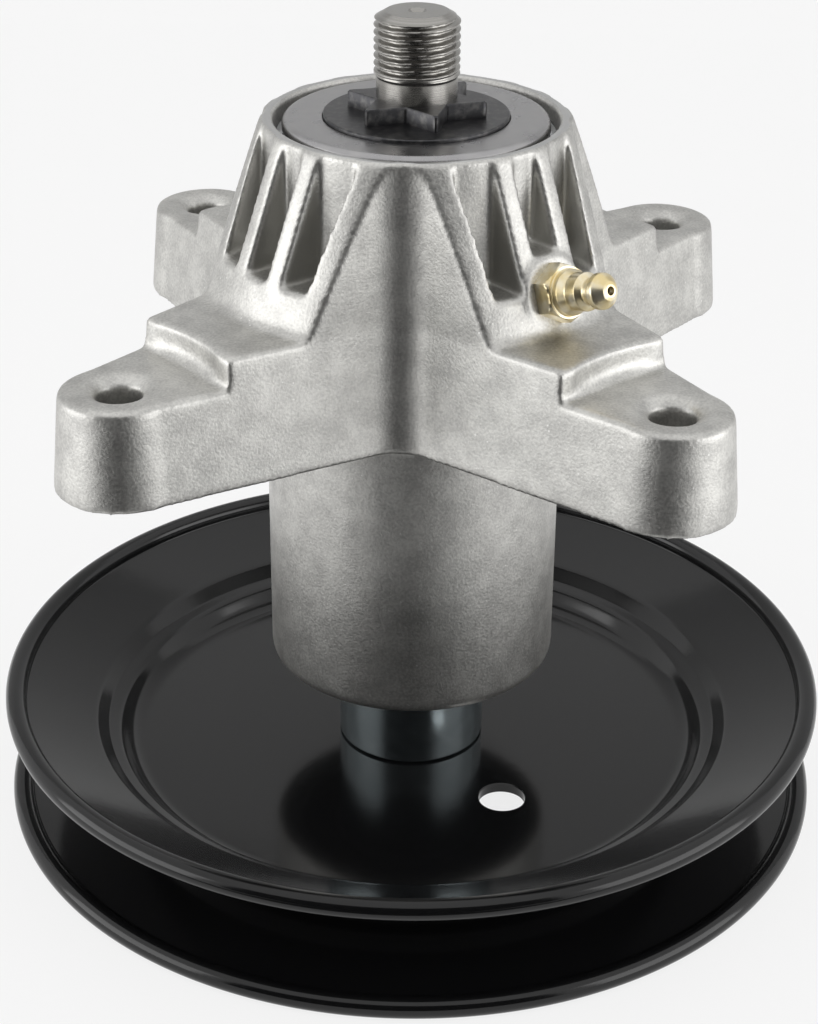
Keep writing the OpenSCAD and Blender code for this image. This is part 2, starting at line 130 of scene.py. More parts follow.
def start_finish(name, metallic):
    """A new material with its tree, its shader and its Object coordinates."""
    material = bpy.data.materials.new(name)
    material.use_nodes = True
    shader = material.node_tree.nodes["Principled BSDF"]
    shader.inputs["Metallic"].default_value = metallic
    place = add(material.node_tree, "ShaderNodeTexCoord").outputs["Object"]
    return material, material.node_tree, shader, place


def end_finish(tree, shader, tone, roughness, height, depth):
    """Joins colour, roughness and a bump of that depth in millimetres to the shader."""
    bump = add(tree, "ShaderNodeBump", {"Height": height, "Distance": depth / 1000, "Strength": 1.0})
    for socket, node in (("Base Color", tone), ("Roughness", roughness), ("Normal", bump)):
        tree.links.new(shown(node.outputs), shader.inputs[socket])


def turning_marks(tree, place, pitch):
    """Fine rings left by a lathe tool, uneven, on faces and on cylinders round the Z axis."""
    flat = add(tree, "ShaderNodeVectorMath", {0: place, 1: (1, 1, 0)}, operation="MULTIPLY")
    reach = add(tree, "ShaderNodeVectorMath", {0: flat}, operation="LENGTH").outputs["Value"]
    height = add(tree, "ShaderNodeSeparateXYZ", {0: place}).outputs["Z"]
    feed = add(tree, "ShaderNodeMath", {0: reach, 1: height}, operation="ADD")
    return add(tree, "ShaderNodeTexNoise", {"W": feed, "Scale": 1000 / pitch, "Detail": 1.0},
               noise_dimensions="1D")


def start_tree(name, sizes):
    """A geometry tree with a named input for each size, and the outputs of its input node."""
    tree = bpy.data.node_groups.new(name, "GeometryNodeTree")
    for size, kind in {"Geometry": "Geometry", **sizes}.items():
        tree.interface.new_socket(size, in_out="INPUT", socket_type="NodeSocket" + kind)
    tree.interface.new_socket("Geometry", in_out="OUTPUT", socket_type="NodeSocketGeometry")
    return tree, add(tree, "NodeGroupInput").outputs


def end_tree(tree, geometry, material):
    """Ends a geometry tree with real geometry in its material."""
    real = add(tree, "GeometryNodeRealizeInstances", {"Geometry": geometry})
    dressed = add(tree, "GeometryNodeSetMaterial", {"Geometry": real, "Material": material})
    add(tree, "NodeGroupOutput", {"Geometry": dressed})


def settle(piece):
    """Makes a piece with its modifiers one plain mesh."""
    graph = bpy.context.evaluated_depsgraph_get()
    rough = piece.data
    piece.data = bpy.data.meshes.new_from_object(piece.evaluated_get(graph), depsgraph=graph)
    piece.modifiers.clear()
    bpy.data.meshes.remove(rough)


def run_tree(piece, tree, sizes):
    """Shapes a piece with a geometry tree and these sizes."""
    modifier = piece.modifiers.new(tree.name, "NODES")
    modifier.node_group = tree
    for item in tree.interface.items_tree:
        if item.in_out == "INPUT" and item.name in sizes:
            modifier[item.identifier] = sizes[item.name]
    settle(piece)


def new_piece(name, mesh):
    """Puts a mesh in the scene as a piece at the origin."""
    piece = bpy.data.objects.new(name, mesh)
    bpy.context.scene.collection.objects.link(piece)
    return piece


def fit(piece, body, slot, *nodes):
    """Fixes a finished piece to its body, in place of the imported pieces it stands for."""
    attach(piece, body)
    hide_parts(*nodes)


def softened(corners, steps=5, guard=0.25):
    """Outline in (radius, height) with each corner (radius, height, rounding) made a short arc.
    A guard point beyond each end of an arc keeps the flat beside it flat under smooth shading."""
    points = [Vector(corner[:2]) for corner in corners]
    count = len(points)
    back = [(points[i - 1] - points[i]) for i in range(count)]
    ahead = [(points[(i + 1) % count] - points[i]) for i in range(count)]
    halves = [back[i].angle(ahead[i], pi) / 2 for i in range(count)]
    reaches = [corners[i][2] / tan(halves[i]) if corners[i][2] else 0 for i in range(count)]
    outline = []
    for i, point in enumerate(points):
        if not reaches[i]:
            outline.append(point)
            continue
        start, end = (way[i].normalized() * reaches[i] for way in (back, ahead))
        centre = (start + end).normalized() * corners[i][2] / sin(halves[i])
        sweep = pi - 2 * halves[i]
        arc = [centre + ((start - centre) * sin((1 - k / steps) * sweep)
                         + (end - centre) * sin(k / steps * sweep)) / sin(sweep) for k in range(steps + 1)]
        room_back = (back[i].length - reaches[i] - reaches[i - 1]) / 3
        room_ahead = (ahead[i].length - reaches[i] - reaches[(i + 1) % count]) / 3
        if room_back > 0.02:
            arc.insert(0, start + back[i].normalized() * min(guard, room_back))
        if room_ahead > 0.02:
            arc.append(end + ahead[i].normalized() * min(guard, room_ahead))
        outline += [point + step for step in arc]
    return outline


def turned(name, outline, closed=False, steps=240, section=None, place=Matrix(), sharp=28):
    """A piece turned about Z from an outline in millimetres. section(radius, height, angle) gives
    the radius where it isn't round, and place puts the finished mesh where it belongs."""
    made = bmesh.new()
    rows = []
    for radius, height in outline:
        angles = [2 * pi * k / steps for k in range(steps)]
        reaches = [section(radius, height, a) if section else radius for a in angles]
        rows.append([made.verts.new(place @ (Vector((r * cos(a), r * sin(a), height)) / 1000))
                     for r, a in zip(reaches, angles)])
    for low, high in zip(rows, rows[1:] + rows[:closed]):
        for k in range(steps):
            made.faces.new((low[k - 1], low[k], high[k], high[k - 1]))
    bmesh.ops.remove_doubles(made, verts=made.verts, dist=1e-8)
    bmesh.ops.recalc_face_normals(made, faces=made.faces)
    mesh = bpy.data.meshes.new(name)
    made.to_mesh(mesh)
    made.free()
    mesh.shade_smooth()
    mesh.set_sharp_from_angle(angle=radians(sharp))
    return new_piece(name, mesh)


def lofted(name, levels, place=Matrix()):
    """A solid through plan outlines in millimetres at several heights, all with as many points."""
    made = bmesh.new()
    rings = [[made.verts.new(place @ (Vector((*point, height)) / 1000)) for point in outline]
             for height, outline in levels]
    for low, high in zip(rings, rings[1:]):
        for k in range(len(low)):
            made.faces.new((low[k - 1], low[k], high[k], high[k - 1]))
    made.faces.new(rings[0])
    made.faces.new(rings[-1])
    bmesh.ops.recalc_face_normals(made, faces=made.faces)
    mesh = bpy.data.meshes.new(name)
    made.to_mesh(mesh)
    made.free()
    return new_piece(name, mesh)


def join(name, pieces):
    """One piece with the meshes of several, which are removed."""
    made = bmesh.new()
    for piece in pieces:
        made.from_mesh(piece.data)
        bpy.data.objects.remove(piece)
    mesh = bpy.data.meshes.new(name)
    made.to_mesh(mesh)
    made.free()
    return new_piece(name, mesh)


def carve(piece, tool, operation):
    """Adds a tool's solid to a piece or cuts it away, and removes the tool."""
    change = piece.modifiers.new(tool.name, "BOOLEAN")
    change.operation = operation
    change.object = tool
    settle(piece)
    bpy.data.objects.remove(tool)


def carve_round(piece, tool, copies, operation="DIFFERENCE"):
    """Cuts away a tool's solid at even turns round the Z axis, or leaves it standing in the piece
    for the voxel skin to close over, and removes the tool."""
    tree, given = start_tree("carve_round", {"Tool": "Object", "Copies": "Int", "Material": "Material"})
    cutter = add(tree, "GeometryNodeObjectInfo", {"Object": given["Tool"]}).outputs["Geometry"]
    places = add(tree, "GeometryNodeMeshLine", {"Count": given["Copies"], "Offset": (0, 0, 0)})
    step = add(tree, "ShaderNodeMath", {0: 2 * pi, 1: given["Copies"]}, operation="DIVIDE")
    turn = add(tree, "ShaderNodeMath", {0: add(tree, "GeometryNodeInputIndex"), 1: step},
               operation="MULTIPLY")
    set_round = add(tree, "GeometryNodeInstanceOnPoints", {
        "Points": places, "Instance": cutter, "Rotation": add(tree, "ShaderNodeCombineXYZ", {"Z": turn})})
    solids = add(tree, "GeometryNodeRealizeInstances", {"Geometry": set_round})
    if operation == "JOIN":
        whole = add(tree, "GeometryNodeJoinGeometry", {"Geometry": solids})
        tree.links.new(given["Geometry"], whole.inputs["Geometry"])
    else:
        whole = add(tree, "GeometryNodeMeshBoolean", {"Mesh 1": given["Geometry"], "Mesh 2": solids},
                    operation=operation, solver="EXACT")
    end_tree(tree, whole, given["Material"])
    run_tree(piece, tree, {"Tool": tool, "Copies": copies, "Material": blasted})
    bpy.data.objects.remove(tool)


mount = next(m for m in frame["record"]["mounts"] if m["name"] == "nipple_head")
out = Vector(mount["axis"]).normalized()
across = Vector((0, 0, 1)).cross(out).normalized()
nipple_middle = 11.9
at_fitting = Matrix((across.cross(out), across, out)).transposed().to_4x4()
at_fitting.translation = Vector(mount["pos_m"]) - out * nipple_middle / 1000
quill_foot = span("spindle_housing")[0].z
crown_top = span("spindle_housing")[1].z
deck_face = quill_foot + 58.4

# Blasted die-cast aluminium: a dull metal grey, lighter and darker from grain to grain, with a few
# painted glints, small bright flecks that stand in for the sparkle of the blasted skin
blasted, tree, shader, place = start_finish("blasted_die_cast_aluminium", 1)
grain = add(tree, "ShaderNodeTexNoise", {"Vector": place, "Scale": 1000 / 0.5, "Detail": 2.0})
clouds = add(tree, "ShaderNodeTexNoise", {"Vector": place, "Scale": 1000 / 5, "Detail": 3.0})
speckle = add(tree, "ShaderNodeMath", {0: grain, 1: clouds}, operation="ADD")
share = add(tree, "ShaderNodeMapRange", {"Value": speckle, "From Min": 0.75, "From Max": 1.25})
skin = add(tree, "ShaderNodeMix", {"Factor": share, "A": colour("#B5B4B1"), "B": colour("#D4D3CF")},
           data_type="RGBA")
cells = add(tree, "ShaderNodeTexVoronoi", {"Vector": place, "Scale": 1000 / 1.8})
near = add(tree, "ShaderNodeMath", {0: cells.outputs["Distance"], 1: 0.1}, operation="LESS_THAN")
pick = add(tree, "ShaderNodeSeparateColor", {0: cells.outputs["Color"]})
rare = add(tree, "ShaderNodeMath", {0: pick, 1: 0.72}, operation="GREATER_THAN")
# painted glints: rare bright flecks that stand in for the sparkle of the blasted skin
painted_glint = add(tree, "ShaderNodeMath", {0: near, 1: rare}, operation="MULTIPLY")
glinted_skin = add(tree, "ShaderNodeMix", {"Factor": painted_glint, "A": skin, "B": colour("#DDDCD9")},
              data_type="RGBA")
height = add(tree, "ShaderNodeSeparateXYZ", {0: place}).outputs["Z"]
machined = None
for level in (crown_top, deck_face, quill_foot):
    face = add(tree, "ShaderNodeMath", {0: height, 1: level / 1000, 2: 0.00012}, operation="COMPARE")
    machined = add(tree, "ShaderNodeMath", {0: face, 1: machined or 0.0}, operation="MAXIMUM")
marks = turning_marks(tree, place, 0.35)

# Painted shade: the side walls of the deep pockets get a darker tone, which stands in for the shade inside them
flat = add(tree, "ShaderNodeVectorMath", {0: place, 1: (1, 1, 0)}, operation="MULTIPLY")
radius = add(tree, "ShaderNodeVectorMath", {0: flat}, operation="LENGTH").outputs["Value"]
cone_radius = add(tree, "ShaderNodeMapRange", {
    "Value": height, "From Min": (crown_top - crown_rise) / 1000, "From Max": crown_top / 1000,
    "To Min": crown_foot / 1000, "To Max": crown_tip / 1000})
depth = add(tree, "ShaderNodeMath", {0: cone_radius, 1: radius}, operation="SUBTRACT")
deep = add(tree, "ShaderNodeMapRange", {"Value": depth, "From Min": 0.0006, "From Max": 0.0018})
outside = add(tree, "ShaderNodeMath", {0: radius, 1: crown_core / 1000}, operation="GREATER_THAN")
above = add(tree, "ShaderNodeMapRange", {
    "Value": height, "From Min": (crown_top - crown_rise + pocket_floor - 0.6) / 1000,
    "From Max": (crown_top - crown_rise + pocket_floor + 0.6) / 1000})
turned_to = add(tree, "ShaderNodeTexCoord").outputs["Normal"]
radial = add(tree, "ShaderNodeVectorMath", {0: flat}, operation="NORMALIZE")
sideways = add(tree, "ShaderNodeVectorMath", {0: radial, 1: turned_to}, operation="CROSS_PRODUCT")
facing = add(tree, "ShaderNodeMath", {0: add(tree, "ShaderNodeSeparateXYZ", {0: sideways}).outputs["Z"]},
             operation="ABSOLUTE")
side = add(tree, "ShaderNodeMapRange", {"Value": facing, "From Min": 0.45, "From Max": 0.75})
folded = add(tree, "ShaderNodeSeparateXYZ", {
    0: add(tree, "ShaderNodeVectorMath", {0: place}, operation="ABSOLUTE")}).outputs
along = add(tree, "ShaderNodeMath", {0: folded["X"], 1: folded["Y"]}, operation="ADD")
apart = add(tree, "ShaderNodeMath", {0: folded["X"], 1: folded["Y"]}, operation="SUBTRACT")
across_arm = add(tree, "ShaderNodeMath", {0: apart}, operation="ABSOLUTE")
slanted = add(tree, "ShaderNodeMath", {0: along, 1: sin(arm_taper) / sqrt(2)}, operation="MULTIPLY")
wall = add(tree, "ShaderNodeMath", {0: across_arm, 1: cos(arm_taper) / sqrt(2), 2: slanted},
           operation="MULTIPLY_ADD")
inside = add(tree, "ShaderNodeMath", {0: wall, 1: (pocket_wall + 1.2) / 1000}, operation="LESS_THAN")
painted_pocket_shade = deep
for mask in (outside, above, side, inside):
    painted_pocket_shade = add(tree, "ShaderNodeMath", {0: painted_pocket_shade, 1: mask}, operation="MULTIPLY")
# painted shade on the pocket side walls, a little darker than the blasted skin
pocket_shaded_tone = add(tree, "ShaderNodeMix", {"Factor": painted_pocket_shade, "A": glinted_skin, "B": colour("#B4B3AF")},
                   data_type="RGBA")
tone = add(tree, "ShaderNodeMix", {"Factor": machined, "A": pocket_shaded_tone, "B": colour("#C6C6C5")},
           data_type="RGBA")
cast_gloss = add(tree, "ShaderNodeMapRange", {"Value": grain, "To Min": 0.38, "To Max": 0.5})
gloss = add(tree, "ShaderNodeMix", {"Factor": machined, "A": cast_gloss, "B": 0.3})
relief = add(tree, "ShaderNodeMix", {"Factor": machined, "A": grain, "B": marks})
end_finish(tree, shader, tone, gloss, relief, 0.05)

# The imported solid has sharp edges. They are worn soft by a small voxel skin and a blur of its points.
tree, given = start_tree("soften_cast_edges", {
    "Edge Passes": "Int", "Machined Height": "Float", "Machined Band": "Float",
    "Nick Place": "Vector", "Nick Radius": "Float", "Nick Depth": "Float"})
point = add(tree, "GeometryNodeInputPosition")
height = add(tree, "ShaderNodeSeparateXYZ", {0: point}).outputs["Z"]
above = add(tree, "ShaderNodeMath", {0: height, 1: given["Machined Height"]}, operation="SUBTRACT")
off_face = add(tree, "ShaderNodeMath", {0: above}, operation="ABSOLUTE")
softness = add(tree, "ShaderNodeMapRange", {
    "Value": off_face, "From Max": given["Machined Band"], "To Min": 0.1, "To Max": 1.0})
blurred = add(tree, "GeometryNodeBlurAttribute", {
    "Value": point, "Iterations": given["Edge Passes"], "Weight": softness}, data_type="FLOAT_VECTOR")
soft = add(tree, "GeometryNodeSetPosition", {"Geometry": given["Geometry"], "Position": blurred})
away = add(tree, "ShaderNodeVectorMath", {0: point, 1: given["Nick Place"]}, operation="SUBTRACT")
tall = add(tree, "ShaderNodeVectorMath", {0: away, 1: (1, 1, 0.45)}, operation="MULTIPLY")
distance = add(tree, "ShaderNodeVectorMath", {0: tall}, operation="LENGTH").outputs["Value"]
dent = add(tree, "ShaderNodeMapRange", {
    "Value": distance, "From Max": given["Nick Radius"], "To Min": given["Nick Depth"], "To Max": 0.0},
    interpolation_type="SMOOTHSTEP")
inward = add(tree, "ShaderNodeMath", {0: dent, 1: -1.0}, operation="MULTIPLY")
push = add(tree, "ShaderNodeVectorMath", {0: add(tree, "GeometryNodeInputNormal"), "Scale": inward},
           operation="SCALE")
end_tree(tree, add(tree, "GeometryNodeSetPosition", {"Geometry": soft, "Offset": push}), blasted)

loose = bmesh.new()
loose.from_mesh(frame["nodes"]["spindle_housing"].data)
bmesh.ops.remove_doubles(loose, verts=loose.verts, dist=1e-6)
mesh = bpy.data.meshes.new("cast_housing")
loose.to_mesh(mesh)
loose.free()
housing = new_piece("cast_housing", mesh)

# The crown is a plain cone first, and the notches between the arms are cut in it
shelf = crown_top - crown_rise
ear_top = deck_face + ear_height
cone = turned("crown_cone", softened([
    (crown_core, shelf - 1.6, 0), (crown_foot + 3.5, shelf - 1.6, 0), (crown_foot + 3.5, shelf, 0),
    (crown_foot, shelf, crown_fillet), (crown_tip, crown_top, 0.6), (crown_core, crown_top, 0)]),
    closed=True)
carve(housing, cone, "UNION")

levels = []
for rise, wall in notch_walls:
    apex = -wall / cos(pi / 4 - arm_taper)
    end = apex - notch_spread * tan(pi / 4 - arm_taper)
    levels.append((deck_face + rise, softened([
        (0, apex, notch_round), (notch_spread, end, 0), (-notch_spread, end, 0)], steps=10)))
carve_round(housing, lofted("notch", levels), 4)

# The step from shelf to ear is hollowed towards the crown, with a fillet at its foot
step_centre = Matrix.Translation(((step_place + step_hollow) / 1000, 0, 0))
step = turned("step_cutter", softened([
    (0, ear_top + 0.02, 0), (step_hollow, ear_top + 0.02, step_fillet),
    (step_hollow, shelf + 2, 0), (0, shelf + 2, 0)]), steps=360,
    place=Matrix.Rotation(pi / 4, 4, "Z") @ step_centre)
carve_round(housing, step, 4)

# Three pockets over each arm stop at the round wall of the bearing seat and leave two plain ribs
pockets = []
rib_face = middle_pocket + rib


def wall_across(u):
    """Distance across an arm to its outer pockets' far wall, which runs along the notch."""
    return (pocket_wall - u * sin(arm_taper)) / cos(arm_taper)


near_angle = asin(rib_face / seat_wall)
far_angle = asin(pocket_wall / seat_wall) - arm_taper
middle_angle = asin(middle_pocket / seat_wall)
side_pocket = [(seat_wall * cos(a), seat_wall * sin(a)) for a in
               (near_angle + k / 6 * (far_angle - near_angle) for k in range(7))]
side_pocket += [(pocket_reach, wall_across(pocket_reach)), (pocket_reach, rib_face)]
plans = {
    "middle": [(seat_wall * cos(a), seat_wall * sin(a)) for a in (-middle_angle, 0, middle_angle)]
    + [(pocket_reach, middle_pocket), (pocket_reach, -middle_pocket)],
    "left": side_pocket, "right": [(u, -v) for u, v in side_pocket]}
for arm in (-135, -45):
    for place, plan in plans.items():
        floor = shelf + (port_pocket_floor if (arm, place) == (-45, "middle") else pocket_floor)
        pockets.append(lofted(f"pocket_{arm}_{place}", [(floor, plan), (crown_top + 1, plan)],
                              Matrix.Rotation(radians(arm), 4, "Z")))
carve_round(housing, join("pockets", pockets), 2)

# The grease port is drilled through the crown's wall, under a flat spot face for the fitting
drill = turned("port_drill", [
    (0, -14), (port, -14), (port, 0), (spot_face, 0), (spot_face, 5), (0, 5)], steps=96,
    place=at_fitting)
carve(housing, drill, "DIFFERENCE")

# Each arm's top is raised between the notches' walls, and the round ear at its end stands a little
# proud of them. A shallow dish leads into the bolt hole.
ear_place = Matrix.Rotation(pi / 4, 4, "Z") @ Matrix.Translation((bolt_circle / 1000, 0, 0))
(low, low_wall), (high, high_wall) = notch_walls[:2]
slab_wall = high_wall + (low_wall - high_wall) * arm_slab / (high - low)
arm = lofted("arm_top", [
    (ear_top - drop, [(u, side * (wall - u * sin(arm_taper)) / cos(arm_taper))
                      for u, side in ((arm_start, 1), (bolt_circle, 1), (bolt_circle, -1), (arm_start, -1))])
    for drop, wall in ((arm_slab, slab_wall), (0, high_wall))], Matrix.Rotation(pi / 4, 4, "Z"))
carve(arm, turned("mouth_room", [
    (0, deck_face), (bolt_mouth + 0.1, deck_face), (bolt_mouth + 0.1, ear_top + 1), (0, ear_top + 1)],
    steps=96, place=ear_place), "DIFFERENCE")
carve_round(housing, arm, 4, "JOIN")
ear = turned("ear", softened([
    (bolt_hole, deck_face, 0), (ear_foot, deck_face, 0), (ear_head, ear_top, ear_rounding),
    (bolt_mouth, ear_top, 0), (bolt_hole, ear_top - mouth_depth, 0)]), closed=True, steps=96,
    place=ear_place)
carve_round(housing, ear, 4, "JOIN")

skinned = housing.modifiers.new("voxel skin", "REMESH")
skinned.mode = "VOXEL"
skinned.voxel_size = cast_voxel / 1000
settle(housing)
run_tree(housing, tree, {
    "Edge Passes": cast_edge_passes, "Machined Height": crown_top / 1000,
    "Machined Band": machined_band / 1000, "Nick Place": [c / 1000 for c in nick_place],
    "Nick Radius": nick_radius / 1000, "Nick Depth": nick_depth / 1000})
thinned = housing.modifiers.new("thinner", "DECIMATE")
thinned.ratio = min(1, cast_triangles / (2 * len(housing.data.polygons)))
settle(housing)
housing.data.shade_smooth()
fit(housing, "housing", "cast_housing", "spindle_housing")

# Ball bearings: two deep-groove bearings of 25 by 52 by 15 mm, of ground chrome steel, with snap
# cages and moulded rubber seals pressed into their outer rings. A zinc plated tube between the two
# inner rings takes the clamp load of the pulley nut.
lip_rounding = 0.18

# Ground bearing steel: a clear, cool mirror with the faint rings of the grinding wheel
ground, tree, shader, place = start_finish("ground_bearing_steel", 1)
marks = turning_marks(tree, place, 0.12)
tone = add(tree, "ShaderNodeMix", {"Factor": marks, "A": colour("#A9ABAE"), "B": colour("#BDBFC2")},
           data_type="RGBA")
gloss = add(tree, "ShaderNodeMapRange", {"Value": marks, "To Min": 0.1, "To Max": 0.2})
end_finish(tree, shader, tone, gloss, marks, 0.002)

# Pressed brass: warm yellow, satin from tumbling, with soft shallow dimples
brass, tree, shader, place = start_finish("tumbled_cage_brass", 1)
dimples = add(tree, "ShaderNodeTexNoise", {"Vector": place, "Scale": 1000 / 0.8, "Detail": 2.0})
tone = add(tree, "ShaderNodeMix", {"Factor": dimples, "A": colour("#A98948"), "B": colour("#C3A562")},
           data_type="RGBA")
gloss = add(tree, "ShaderNodeMapRange", {"Value": dimples, "To Min": 0.24, "To Max": 0.4})
end_finish(tree, shader, tone, gloss, dimples, 0.01)

# Moulded nitrile rubber: a flat black with a fine matt grain
rubber, tree, shader, place = start_finish("moulded_nitrile_rubber", 0)
matt = add(tree, "ShaderNodeTexNoise", {"Vector": place, "Scale": 1000 / 0.3, "Detail": 2.0})
tone = add(tree, "ShaderNodeMix", {"Factor": matt, "A": colour("#131313"), "B": colour("#1E1E1E")},
           data_type="RGBA")
gloss = add(tree, "ShaderNodeMapRange", {"Value": matt, "To Min": 0.5, "To Max": 0.68})
end_finish(tree, shader, tone, gloss, matt, 0.02)

# Bright zinc: a thin, slightly blue plating over turned steel, clear enough to mirror the pulley
zinc, tree, shader, place = start_finish("bright_zinc_plate", 1)
marks = turning_marks(tree, place, 0.25)
clouds = add(tree, "ShaderNodeTexNoise", {"Vector": place, "Scale": 1000 / 3, "Detail": 2.0})
tone = add(tree, "ShaderNodeMix", {"Factor": clouds, "A": colour("#B2C0C4"), "B": colour("#CAD4D7")},
           data_type="RGBA")
gloss = add(tree, "ShaderNodeMapRange", {"Value": clouds, "To Min": 0.18, "To Max": 0.3})
end_finish(tree, shader, tone, gloss, marks, 0.003)

for bearing in ("blade_bearing", "pulley_bearing"):
    for part, material in {"outer_ring": ground, "inner_ring": ground, "balls": ground, "cage": brass}.items():
        frame["nodes"][f"{bearing}_{part}"].data.materials.clear()
        frame["nodes"][f"{bearing}_{part}"].data.materials.append(material)
    middle = (span(f"{bearing}_outer_ring")[0].z + span(f"{bearing}_outer_ring")[1].z) / 2
    bore = span(f"{bearing}_inner_ring")[1].x + 0.15
    for side in ("outer_seal", "inner_seal"):
        low, high = span(f"{bearing}_{side}")
        face, inside = (high.z, low.z) if low.z > middle else (low.z, high.z)
        sunk = face + (inside - face) * 0.35
        seal = turned(f"{bearing}_{side}_lip", softened([
            (bore, inside, lip_rounding), (bore, face, lip_rounding),
            (bore + 1.1, face, lip_rounding), (bore + 1.4, sunk, lip_rounding),
            (high.x - 1.1, sunk, lip_rounding), (high.x - 0.8, face, lip_rounding),
            (high.x, face, lip_rounding), (high.x, inside, lip_rounding)], steps=3),
            closed=True, steps=128)
        seal.data.materials.append(rubber)
        fit(seal, "housing", "seal_rubber", f"{bearing}_{side}")
frame["nodes"]["inner_spacer_tube"].data.materials.clear()
frame["nodes"]["inner_spacer_tube"].data.materials.append(zinc)

# Shaft: one steel bar, turned, with a rolled 5/8-18 thread at each end. The collar carries the
# blade and the six-point star over it drives the blade. Collar and star keep the black scale of
# hardening, and the neck and threads are bright.
thread_reach = 7.9375
thread_pitch = 25.4 / 18
thread_depth = 0.6134 * thread_pitch
blade_thread = 11.4
end_chamfer = 1.3
end_flat = 5.74
neck_reach = 7.5
star_tip = 13.6
star_height = 3.0
star_edge = 0.3
star_turn = radians(-10)
pulley_seat = 9.5
seat_flats = 16.8
journal = 12.5
collar_land = 15.2
sheet = 2.2
comb = thread_pitch / 16

shaft_foot, shaft_tip = (corner.z for corner in span("spindle_shaft"))
collar_reach = span("spindle_shaft")[1].x
web_under = span("pulley_upper_half")[0].z
bearing_top = span("blade_bearing_inner_ring")[1].z
collar_top = crown_top + 0.6
star_top = collar_top + star_height
thread_foot = shaft_tip - blade_thread


def combed(outline, low, high):
    """The outline with fine steps between those two heights, for a thread to be cut in."""
    fine = []
    for here, there in zip(outline, outline[1:]):
        inside = min(here[1], there[1]) > low - comb and max(here[1], there[1]) < high + comb
        count = max(1, ceil(abs(there[1] - here[1]) / comb) if inside else 1)
        fine += [Vector(here).lerp(Vector(there), k / count) for k in range(count)]
    return fine + [Vector(outline[-1])]


def shaft_section(radius, height, angle):
    """Radius of the star between collar and neck, and of the flatted seat in the pulley."""
    if collar_top - 0.01 < height < star_top + 0.01 and neck_reach + 0.01 < radius < star_tip + 0.01:
        turn = (angle - star_turn) % (pi / 3)
        point = min(turn, pi / 3 - turn)
        star = min(star_tip / 2 / cos(pi / 3 - point), star_tip - 0.4)
        return max(star - (star_tip - radius), neck_reach)
    if web_under - 0.01 < height < web_under + sheet + 0.31 and radius < pulley_seat + 0.01:
        return min(radius, seat_flats / 2 / max(abs(cos(angle)), 0.01))
    return radius


# Rolled bright steel: a hard grey shine, a little warm, with fine tool lines
bright, tree, shader, place = start_finish("rolled_bright_steel", 1)
marks = turning_marks(tree, place, 0.2)
tone = add(tree, "ShaderNodeMix", {"Factor": marks, "A": colour("#8E8C88"), "B": colour("#B0AEAA")},
           data_type="RGBA")
gloss = add(tree, "ShaderNodeMapRange", {"Value": marks, "To Min": 0.18, "To Max": 0.3})
end_finish(tree, shader, tone, gloss, marks, 0.006)

# Black hardening scale on steel: near black with a dull metal sheen and small worn spots
scale_black, tree, shader, place = start_finish("black_hardening_scale", 1)
spots = add(tree, "ShaderNodeTexNoise", {"Vector": place, "Scale": 1000 / 1.4, "Detail": 4.0})
worn = add(tree, "ShaderNodeMapRange", {"Value": spots, "From Min": 0.45, "From Max": 0.75})
tone = add(tree, "ShaderNodeMix", {"Factor": worn, "A": colour("#48484A"), "B": colour("#6A6968")},
           data_type="RGBA")
gloss = add(tree, "ShaderNodeMapRange", {"Value": spots, "To Min": 0.26, "To Max": 0.46})
end_finish(tree, shader, tone, gloss, spots, 0.012)

# A thread is cut where the bar meets a helical vee: the lower of the two radii stays
thread_tree, given = start_tree("cut_thread", {
    "Major Radius": "Float", "Pitch": "Float", "Depth": "Float", "Foot": "Float", "Head": "Float",
    "Material": "Material"})
point = add(thread_tree, "GeometryNodeInputPosition")
axes = add(thread_tree, "ShaderNodeSeparateXYZ", {0: point}).outputs
turn = add(thread_tree, "ShaderNodeMath", {0: axes["Y"], 1: axes["X"]}, operation="ARCTAN2")
turns = add(thread_tree, "ShaderNodeMath", {0: turn, 1: 2 * pi}, operation="DIVIDE")
rise = add(thread_tree, "ShaderNodeMath", {0: axes["Z"], 1: given["Pitch"]}, operation="DIVIDE")
phase = add(thread_tree, "ShaderNodeMath", {0: rise, 1: turns}, operation="SUBTRACT")
wave = add(thread_tree, "ShaderNodeMath", {0: phase, 1: 0.5}, operation="PINGPONG")
vee = add(thread_tree, "ShaderNodeMapRange", {"Value": wave, "From Min": 0.07, "From Max": 0.4})
above_foot = add(thread_tree, "ShaderNodeMath", {0: axes["Z"], 1: given["Foot"]}, operation="SUBTRACT")
run_out = add(thread_tree, "ShaderNodeMapRange", {"Value": above_foot, "From Max": given["Pitch"]},
              interpolation_type="SMOOTHSTEP")
share = add(thread_tree, "ShaderNodeMath", {0: vee, 1: run_out}, operation="MULTIPLY")
cut = add(thread_tree, "ShaderNodeMath", {0: share, 1: given["Depth"]}, operation="MULTIPLY")
vee_radius = add(thread_tree, "ShaderNodeMath", {0: given["Major Radius"], 1: cut}, operation="SUBTRACT")
flat = add(thread_tree, "ShaderNodeVectorMath", {0: point, 1: (1, 1, 0)}, operation="MULTIPLY")
radius = add(thread_tree, "ShaderNodeVectorMath", {0: flat}, operation="LENGTH").outputs["Value"]
kept = add(thread_tree, "ShaderNodeMath", {0: radius, 1: vee_radius}, operation="MINIMUM")
ratio = add(thread_tree, "ShaderNodeMath", {0: kept, 1: radius}, operation="DIVIDE")
threaded = add(thread_tree, "ShaderNodeCombineXYZ", {
    "X": add(thread_tree, "ShaderNodeMath", {0: axes["X"], 1: ratio}, operation="MULTIPLY"),
    "Y": add(thread_tree, "ShaderNodeMath", {0: axes["Y"], 1: ratio}, operation="MULTIPLY"),
    "Z": axes["Z"]})
over_foot = add(thread_tree, "FunctionNodeCompare", {"A": axes["Z"], "B": given["Foot"]},
                operation="GREATER_EQUAL")
